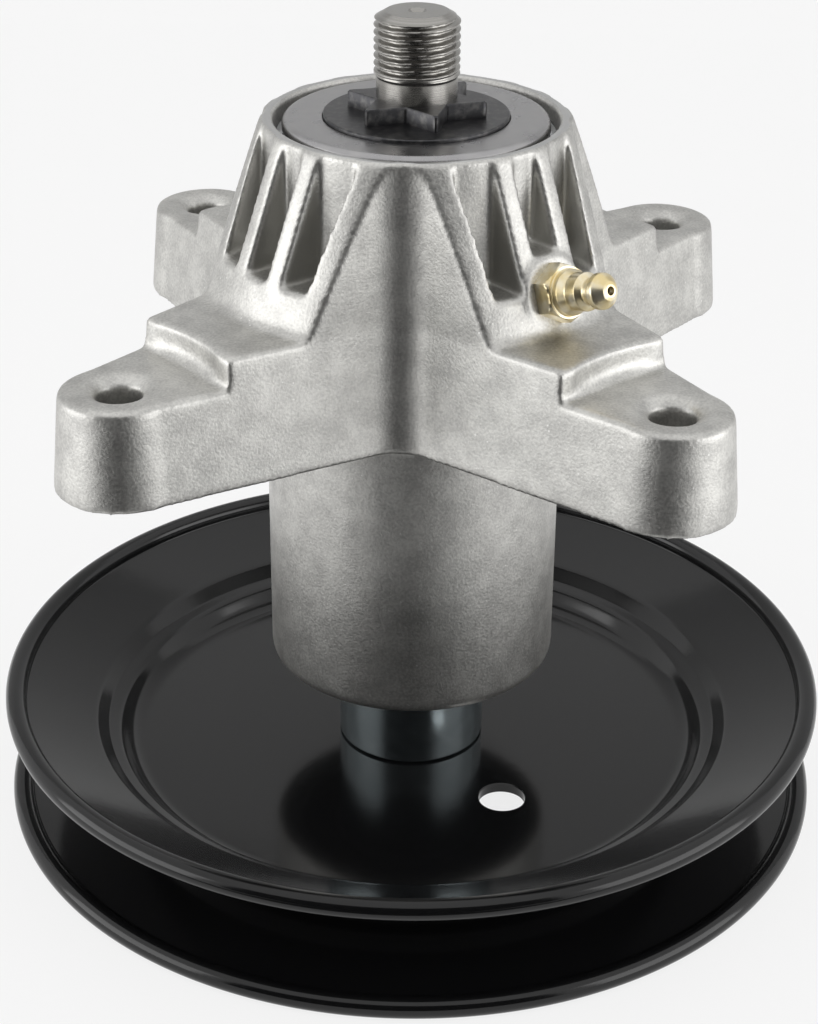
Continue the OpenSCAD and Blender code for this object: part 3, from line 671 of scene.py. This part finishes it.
under_head = add(thread_tree, "FunctionNodeCompare", {"A": axes["Z"], "B": given["Head"]},
                 operation="LESS_EQUAL")
wide = add(thread_tree, "ShaderNodeMath", {0: given["Major Radius"], 1: 0.0001}, operation="ADD")
in_reach = add(thread_tree, "FunctionNodeCompare", {"A": radius, "B": wide}, operation="LESS_EQUAL")
within = add(thread_tree, "FunctionNodeBooleanMath", {0: over_foot, 1: under_head})
where = add(thread_tree, "FunctionNodeBooleanMath", {0: within, 1: in_reach})
shaped = add(thread_tree, "GeometryNodeSetPosition", {
    "Geometry": given["Geometry"], "Selection": where, "Position": threaded})
end_tree(thread_tree, shaped, given["Material"])


def cut_thread(piece, foot, head, material, clearance=0.0):
    """Cuts the 5/8-18 thread in a turned piece between two heights, or fills a bore with it."""
    run_tree(piece, thread_tree, {
        "Major Radius": (thread_reach + clearance) / 1000, "Pitch": thread_pitch / 1000,
        "Depth": thread_depth / 1000, "Foot": foot / 1000, "Head": head / 1000, "Material": material})
    piece.data.set_sharp_from_angle(angle=radians(40))


shaft_outline = softened([
    (0, shaft_foot, 0), (thread_reach - end_chamfer, shaft_foot, 0),
    (thread_reach, shaft_foot + end_chamfer, 0), (thread_reach, web_under, 0),
    (pulley_seat, web_under, 0), (pulley_seat, web_under + sheet + 0.3, 0),
    (journal, web_under + sheet + 0.3, 0.3), (journal, bearing_top, 0),
    (collar_land, bearing_top, 0), (collar_land, bearing_top + 0.4, 0),
    (collar_reach, bearing_top + 0.4, 0.3), (collar_reach, collar_top, 0.35),
    (star_tip, collar_top, 0), (star_tip, star_top - star_edge, 0),
    (star_tip - star_edge, star_top, 0), (neck_reach, star_top, 0),
    (neck_reach, thread_foot - 0.5, 0.3), (thread_reach, thread_foot, 0),
    (thread_reach, shaft_tip - end_chamfer, 0.4), (end_flat, shaft_tip, 0.3),
    (1.7, shaft_tip, 0), (0, shaft_tip - 1.6, 0)])
shaft_outline = combed(combed(shaft_outline, shaft_foot, web_under), thread_foot, shaft_tip)
shaft = turned("turned_spindle_shaft", shaft_outline, steps=288, section=shaft_section)
cut_thread(shaft, shaft_foot - 1, web_under - 0.01, bright)
cut_thread(shaft, thread_foot, shaft_tip + 1, bright)
shaft.data.materials.append(scale_black)
for face in shaft.data.polygons:
    face.material_index = int(bearing_top - 0.01 < face.center.z * 1000 < star_top + 0.01)
fit(shaft, "rotor", "shaft_steel", "spindle_shaft")

# Dust cap: pressed from thin steel sheet, with its rim turned down into the bearing mouth. It sits
# tight round the collar and turns with the shaft, a hair above the blade bearing's seal.
cap_sheet = 1.2
cap_bore = span("dust_cap")[1].x - 24.9 + 17.32
cap_low, cap_high = span("dust_cap")

# Satin rolled steel sheet: light grey with faint round polishing lines from the press
satin, tree, shader, place = start_finish("satin_pressed_steel", 1)
marks = turning_marks(tree, place, 0.3)
smears = add(tree, "ShaderNodeTexNoise", {"Vector": place, "Scale": 1000 / 4, "Detail": 3.0})
tone = add(tree, "ShaderNodeMix", {"Factor": smears, "A": colour("#98979A"), "B": colour("#B2B1B0")},
           data_type="RGBA")
gloss = add(tree, "ShaderNodeMapRange", {"Value": smears, "To Min": 0.22, "To Max": 0.36})
end_finish(tree, shader, tone, gloss, marks, 0.006)

cap = turned("pressed_dust_cap", softened([
    (cap_bore, cap_high.z, 0.25), (cap_high.x, cap_high.z, 1.3), (cap_high.x, cap_low.z, 0.2),
    (cap_high.x - cap_sheet, cap_low.z, 0.2), (cap_high.x - cap_sheet, cap_high.z - cap_sheet, 0.3),
    (cap_bore, cap_high.z - cap_sheet, 0.25)]), closed=True)
cap.data.materials.append(satin)
fit(cap, "rotor", "cap_steel", "dust_cap")

# Pulley spacer: a turned steel tube, bright zinc plated, that stands on the pulley's web and holds
# the pulley clear of the quill. Its ends are chamfered.
spacer_low, spacer_high = span("pulley_spacer")
spacer_bore = journal + 0.1
spacer_edge = 0.5
spacer = turned("turned_pulley_spacer", softened([
    (spacer_bore, spacer_low.z, 0.15), (spacer_high.x - spacer_edge, spacer_low.z, 0.15),
    (spacer_high.x, spacer_low.z + spacer_edge, 0.15), (spacer_high.x, spacer_high.z - spacer_edge, 0.15),
    (spacer_high.x - spacer_edge, spacer_high.z, 0.15), (spacer_bore, spacer_high.z, 0.15)], steps=3),
    closed=True)
spacer.data.materials.append(zinc)
fit(spacer, "rotor", "spacer_zinc", "pulley_spacer")

# Belt pulley: two halves pressed from steel sheet and spot welded under the web, painted gloss
# black. Each rim is rolled into a bead. The upper half has a flat web with a flatted hub hole and
# one round hole, then a steep wall and a ridge where the flange starts.
bead = 2.1
crease = 0.5
rim_reach = span("pulley_upper_half")[1].x
rim_centre = rim_reach - bead
rim_top = span("pulley_upper_half")[1].z
web_top = web_under + sheet
web_hole = 9.4
web_hole_place = Matrix.Rotation(radians(-51), 4, "Z") @ Matrix.Translation((0.0324, 0, 0))


def rolled_sheet(path, bead_height):
    """Closed outline of a pressed sheet with its outer end rolled into a bead. The sheet hangs under
    the path, a small fillet joins its top to the bead and its underside runs out into the bead."""
    before = [path[1] - path[0]] + [there - here for here, there in zip(path, path[1:])]
    after = before[1:] + [before[-1]]
    ways = [(b.normalized() + a.normalized()).normalized() for b, a in zip(before, after)]
    under = [here + Vector((way.y, -way.x)) * sheet for here, way in zip(path, ways)]
    centre = Vector((rim_centre, bead_height))
    up = Vector((-ways[-1].y, ways[-1].x))
    rise = (centre - path[-1]).dot(up)
    run = sqrt((bead + crease) ** 2 - (crease - rise) ** 2)
    hollow = centre + up * (crease - rise) - ways[-1] * run
    lean = atan2(ways[-1].y, ways[-1].x)
    meet = atan2(hollow.y - centre.y, hollow.x - centre.x) % (2 * pi)
    fillet = [lean - pi / 2 + k / 4 * (meet - pi / 2 - lean) for k in range(4)]
    roll = [meet + k / 24 * (lean - pi / 2 - meet) for k in range(25)]
    return (path[:-1] + [hollow + crease * Vector((cos(a), sin(a))) for a in fillet]
            + [centre + bead * Vector((cos(a), sin(a))) for a in roll] + under[-2::-1])


def hub_section(radius, height, angle):
    """Radius of the flatted hub hole at the innermost rows of the web."""
    if radius > pulley_seat + 0.6:
        return radius
    return min(radius, (seat_flats / 2 + radius - pulley_seat) / max(abs(cos(angle)), 0.01))


# Gloss black enamel over pressed steel: a deep black mirror with a faint orange peel
enamel, tree, shader, place = start_finish("gloss_black_enamel", 0)
peel = add(tree, "ShaderNodeTexNoise", {"Vector": place, "Scale": 1000 / 2.2, "Detail": 1.0})
dust = add(tree, "ShaderNodeTexNoise", {"Vector": place, "Scale": 1000 / 0.6, "Detail": 2.0})
tone = add(tree, "ShaderNodeMix", {"Factor": dust, "A": colour("#0E0E0F"), "B": colour("#171718")},
           data_type="RGBA")
gloss = add(tree, "ShaderNodeMapRange", {"Value": dust, "To Min": 0.1, "To Max": 0.17})
end_finish(tree, shader, tone, gloss, peel, 0.006)
shader.inputs["IOR"].default_value = 1.45

ridge = Vector((65.8, web_top + 7.5))
ledge = Vector((61, web_top + 4.05))
upper_path = softened([
    (pulley_seat + 0.52, web_top, 0), (58.2, web_top, 4), (*ledge, 2.3), (ledge.x + 2.4, ledge.y + 0.8, 1),
    (*ridge, 2.6), (rim_centre, rim_top - bead - 0.2, 0)], steps=8, guard=0.5)
upper_outline = rolled_sheet(upper_path, rim_top - bead) + [
    (pulley_seat + 0.27, web_under), (pulley_seat + 0.02, web_under + 0.25),
    (pulley_seat + 0.02, web_top - 0.25), (pulley_seat + 0.27, web_top)]
upper = turned("pressed_upper_half", upper_outline, closed=True, steps=288, section=hub_section)

# The round hole is punched after pressing, with a slightly broken edge on both faces
punch = turned("hole_punch", [
    (0, web_under - 1), (web_hole / 2 + 1.2, web_under - 1), (web_hole / 2, web_under + 0.2),
    (web_hole / 2, web_top - 0.2), (web_hole / 2 + 1.2, web_top + 1), (0, web_top + 1)],
    steps=96, place=web_hole_place)
carve(upper, punch, "DIFFERENCE")
upper.data.set_sharp_from_angle(angle=radians(28))
upper.data.materials.clear()
upper.data.materials.append(enamel)
fit(upper, "rotor", "pulley_paint", "pulley_upper_half")

lower_path = softened([
    (40, web_under, 0), (64.5, web_under, 4.2), (rim_centre, bead + 0.2, 0)], steps=8, guard=0.5)
lower = turned("pressed_lower_half", rolled_sheet(lower_path, bead), closed=True, steps=288)
lower.data.materials.append(enamel)
fit(lower, "rotor", "pulley_paint", "pulley_lower_half")

# Pulley nut: a zinc plated 5/8-18 flange nut that clamps web, spacer, bearings and collar together
nut_low, nut_high = span("pulley_nut")
nut_flats = 23.8
nut_flange = 1.5
nut_corner = nut_flats / 2 / cos(pi / 6)


def nut_section(radius, height, angle):
    """Radius of the nut's hexagon, cut by its chamfer, below the flange."""
    if height > nut_high.z - nut_flange - 0.01 or radius < thread_reach + 1:
        return radius
    return min(radius, nut_flats / 2 / cos((angle % (pi / 3)) - pi / 6))


nut_outline = combed([
    (thread_reach + 0.6, nut_low.z), (nut_corner - 1.3, nut_low.z), (nut_corner - 0.9, nut_low.z + 0.25),
    (nut_corner - 0.5, nut_low.z + 0.5), (nut_corner, nut_low.z + 0.85),
    (nut_corner, nut_high.z - nut_flange), (nut_high.x, nut_high.z - nut_flange + 0.4),
    (nut_high.x, nut_high.z), (thread_reach + 0.6, nut_high.z), (thread_reach + 0.02, nut_high.z - 0.6),
    (thread_reach + 0.02, nut_low.z + 0.6), (thread_reach + 0.6, nut_low.z)], nut_low.z, nut_high.z)[:-1]
nut = turned("flange_nut", nut_outline, closed=True, steps=180, section=nut_section)
cut_thread(nut, nut_low.z - 1, nut_high.z, zinc, clearance=0.03)
fit(nut, "rotor", "nut_zinc", "pulley_nut")

# Grease fitting: a straight 1/4-28 fitting of yellow zinc plated steel, screwed into a flat boss on
# the crown. Its hexagon has a chamfered top. In the head a small ball closes the bore, and the coil
# spring behind it pushes the ball back to its seat after each stroke of the gun.
hex_flats = 9.5
hex_height = 3.4
hex_corner = hex_flats / 2 / cos(pi / 6)
nipple_top = 14.2
nipple = 3.25
shank = 3.15
shank_length = 5.6
check_ball = 1.2
check_place = nipple_top - 1.1 - check_ball
spring_foot = 1.5
spring_reach = 1.25
wire = 0.22
coils = 9


def hexagon_section(radius, height, angle):
    """Radius of the fitting's hexagon, cut by the chamfer round its top."""
    if not -0.01 < height < hex_height + 0.01 or radius < nipple + 0.95:
        return radius
    return min(radius, hex_flats / 2 / cos((angle % (pi / 3)) - pi / 6))


# Yellow zinc: polished steel under a thin gold film that turns greener and redder in patches
gold, tree, shader, place = start_finish("yellow_zinc_plate", 1)
film = add(tree, "ShaderNodeTexNoise", {"Vector": place, "Scale": 1000 / 2.5, "Detail": 2.0})
tint = add(tree, "ShaderNodeMapRange", {"Value": film, "From Min": 0.35, "From Max": 0.65})
tone = add(tree, "ShaderNodeMix", {"Factor": tint, "A": colour("#E6D3A0"), "B": colour("#F4EBD2")},
           data_type="RGBA")
gloss = add(tree, "ShaderNodeMapRange", {"Value": film, "To Min": 0.26, "To Max": 0.38})
end_finish(tree, shader, tone, gloss, film, 0.006)

skirt = nipple + 0.9
waist = nipple - 0.85
body = softened([
    (1.0, -shank_length, 0), (shank - 0.6, -shank_length, 0), (shank, 0.6 - shank_length, 0),
    (shank, 0, 0), (hex_corner, 0, 0), (hex_corner, hex_height - 0.95, 0),
    (hex_corner - 0.2, hex_height - 0.55, 0), (hex_corner - 0.45, hex_height - 0.28, 0),
    (hex_corner - 0.8, hex_height, 0), (skirt, hex_height, 0.2), (skirt, hex_height + 1.2, 0.3),
    (nipple + 0.2, hex_height + 2.6, 0.6), (nipple + 0.2, nipple_top - 5.8, 0.3),
    (waist, nipple_top - 5, 0.5), (waist, nipple_top - 3.8, 0.5), (nipple, nipple_top - 2.9, 0.35),
    (nipple, nipple_top - 1.7, 0.6), (nipple - 1.5, nipple_top - 0.2, 0.5),
    (nipple - 2.1, nipple_top, 0.2), (0.75, nipple_top, 0.1), (0.75, nipple_top - 1.2, 0),
    (check_ball + 0.05, check_place + 0.3, 0), (spring_reach + 0.1, check_place, 0),
    (spring_reach + 0.1, spring_foot, 0), (1.0, spring_foot, 0)], steps=4, guard=0.1)
fitting = turned("grease_fitting_body", body, closed=True, steps=120, section=hexagon_section,
                 place=at_fitting)
fitting.data.materials.append(gold)
fit(fitting, "housing", "fitting_zinc", "grease_fitting")

frame["nodes"]["grease_check_ball"].data.materials.clear()
frame["nodes"]["grease_check_ball"].data.materials.append(ground)

# The spring is real wire wound round the bore's axis
tree, given = start_tree("wind_spring", {
    "Coils": "Float", "Wire Radius": "Float", "Coil Radius": "Float", "Foot": "Float", "Length": "Float",
    "Material": "Material"})
helix = add(tree, "GeometryNodeCurveSpiral", {
    "Resolution": 24, "Rotations": given["Coils"], "Start Radius": given["Coil Radius"],
    "End Radius": given["Coil Radius"], "Height": given["Length"]})
wire_round = add(tree, "GeometryNodeCurvePrimitiveCircle", {"Resolution": 8, "Radius": given["Wire Radius"]})
wound = add(tree, "GeometryNodeCurveToMesh", {
    "Curve": helix, "Profile Curve": wire_round, "Fill Caps": True})
lift = add(tree, "ShaderNodeCombineXYZ", {"Z": given["Foot"]})
raised = add(tree, "GeometryNodeTransform", {"Geometry": wound, "Translation": lift})
end_tree(tree, raised, given["Material"])
spring = new_piece("wound_check_spring", bpy.data.meshes.new("wound_check_spring"))
spring_head = check_place - check_ball * 0.8
run_tree(spring, tree, {
    "Coils": float(coils), "Wire Radius": wire / 1000, "Coil Radius": (spring_reach - wire) / 1000,
    "Foot": (spring_foot + wire) / 1000, "Length": (spring_head - spring_foot - 2 * wire) / 1000,
    "Material": bright})
spring.data.transform(at_fitting)
spring.data.shade_smooth()
fit(spring, "housing", "spring_steel", "grease_check_spring")
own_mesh(spring)

# Studio: a white table and a white surround, a soft light on each side and a dark cloth on the
# table in front, which puts the dark bands in the metal where it faces the camera.
table_reach = 3.0
cloth_width = 0.30
cloth_near = -0.13
cloth_far = -0.60
cloth_height = 0.002
camera_azimuth = radians(-85.8)
camera_distance = 0.3894
camera_height = 0.2636
camera_dip = radians(27.54)
camera_turn = radians(0.115)
camera_roll = radians(0.47)
focal_pixels = 2172
photo_height = 1024
film_height = 24.0
lamp_distance = 0.5
lamp_width = 0.40
lamp_tall = 0.30
screen_place = -0.52
screen_width = 0.86
screen_tall = 0.5
wall_place = 0.6
wall_reach = 0.9
wall_tall = 0.8

scene = bpy.context.scene
camera = bpy.data.objects.new("camera", bpy.data.cameras.new("camera"))
scene.collection.objects.link(camera)
scene.camera = camera
camera.data.sensor_fit = "VERTICAL"
camera.data.sensor_height = film_height
camera.data.lens = focal_pixels * film_height / photo_height
camera.data.clip_start = 0.01
camera.location = (camera_distance * cos(camera_azimuth), camera_distance * sin(camera_azimuth), camera_height)
camera.rotation_euler = (
    Matrix.Rotation(camera_azimuth + pi / 2 + camera_turn, 4, "Z")
    @ Matrix.Rotation(pi / 2 - camera_dip, 4, "X") @ Matrix.Rotation(camera_roll, 4, "Z")).to_euler()


def soft_lamp(name, azimuth, height, radiance):
    """A soft box at that azimuth from the camera's own, turned to the spindle."""
    lamp = bpy.data.objects.new(name, bpy.data.lights.new(name, "AREA"))
    lamp.data.shape = "RECTANGLE"
    lamp.data.size = lamp_width
    lamp.data.size_y = lamp_tall
    lamp.data.energy = radiance * pi * lamp_width * lamp_tall
    turn = camera_azimuth + radians(azimuth)
    lamp.location = (lamp_distance * cos(turn), lamp_distance * sin(turn), height)
    facing = Vector((0, 0, 0.08)) - lamp.location
    lamp.rotation_euler = facing.to_track_quat("-Z", "Y").to_euler()
    scene.collection.objects.link(lamp)


soft_lamp("left_soft_box", -72, 0.16, 1.9)
soft_lamp("right_soft_box", 66, 0.16, 1.9)


def seen_white(tree):
    """1 for what the camera, a mirror or clear glass sees directly, and 0 for light on the object."""
    path = add(tree, "ShaderNodeLightPath").outputs
    direct = add(tree, "ShaderNodeMath", {0: path["Is Camera Ray"], 1: path["Is Glossy Ray"]}, operation="MAXIMUM")
    return add(tree, "ShaderNodeMath", {0: direct, 1: path["Is Transmission Ray"]}, operation="MAXIMUM")


surround = bpy.data.worlds.new("white_surround")
surround.use_nodes = True
scene.world = surround
strength = add(surround.node_tree, "ShaderNodeMapRange", {
    "Value": seen_white(surround.node_tree), "To Min": 0.65, "To Max": 1.0})
background = surround.node_tree.nodes["Background"]
background.inputs["Color"].default_value = colour("#FFFFFF")
surround.node_tree.links.new(shown(strength.outputs), background.inputs["Strength"])

# White laminate table: it shows white to the camera and keeps a pale shadow under the pulley
laminate, tree, shader, place = start_finish("white_laminate", 0)
shader.inputs["Base Color"].default_value = colour("#F4F4F4")
shader.inputs["Roughness"].default_value = 0.6
glow = add(tree, "ShaderNodeEmission", {"Color": colour("#FFFFFF"), "Strength": 1.0})
share = add(tree, "ShaderNodeMath", {0: seen_white(tree), 1: 0.82}, operation="MULTIPLY")
blend = add(tree, "ShaderNodeMixShader", {0: share, 1: shader, 2: glow})
tree.links.new(shown(blend.outputs), tree.nodes["Material Output"].inputs["Surface"])

# Pale grey distemper on the wall behind: matt, seen only in reflections
distemper, tree, shader, place = start_finish("pale_grey_distemper", 0)
brushed = add(tree, "ShaderNodeTexNoise", {"Vector": place, "Scale": 1000 / 60, "Detail": 2.0})
tone = add(tree, "ShaderNodeMix", {"Factor": brushed, "A": colour("#F0F0F0"), "B": colour("#F6F6F6")},
           data_type="RGBA")
tree.links.new(shown(tone.outputs), shader.inputs["Base Color"])
shader.inputs["Roughness"].default_value = 0.9

# Black cotton cloth, matt, seen only in reflections
cotton, tree, shader, place = start_finish("black_cotton", 0)
threads = add(tree, "ShaderNodeTexNoise", {"Vector": place, "Scale": 1000 / 0.8})
tone = add(tree, "ShaderNodeMix", {"Factor": threads, "A": colour("#242424"), "B": colour("#303030")},
           data_type="RGBA")
tree.links.new(shown(tone.outputs), shader.inputs["Base Color"])
shader.inputs["Roughness"].default_value = 0.9


def flat_sheet(name, corner, one_way, other_way, material, seen=True):
    """A flat stage piece, from one corner along two sides."""
    mesh = bpy.data.meshes.new(name)
    corner, one_way, other_way = Vector(corner), Vector(one_way), Vector(other_way)
    mesh.from_pydata([corner, corner + one_way, corner + one_way + other_way, corner + other_way],
                     [], [(0, 1, 2, 3)])
    mesh.materials.append(material)
    piece = new_piece(name, mesh)
    piece.visible_camera = seen
    piece.visible_shadow = seen


flat_sheet("table", (-table_reach, -table_reach, 0), (2 * table_reach, 0, 0), (0, 2 * table_reach, 0),
           laminate)
flat_sheet("dark_cloth", (-cloth_width / 2, cloth_far, cloth_height), (cloth_width, 0, 0),
           (0, cloth_near - cloth_far, 0), cotton, seen=False)
flat_sheet("dark_screen", (-screen_width / 2, screen_place, cloth_height), (screen_width, 0, 0),
           (0, 0, screen_tall), cotton, seen=False)
flat_sheet("grey_wall", (-wall_reach, wall_place, cloth_height), (2 * wall_reach, 0, 0),
           (0, 0, wall_tall), distemper, seen=False)

scene.view_settings.view_transform = "Standard"
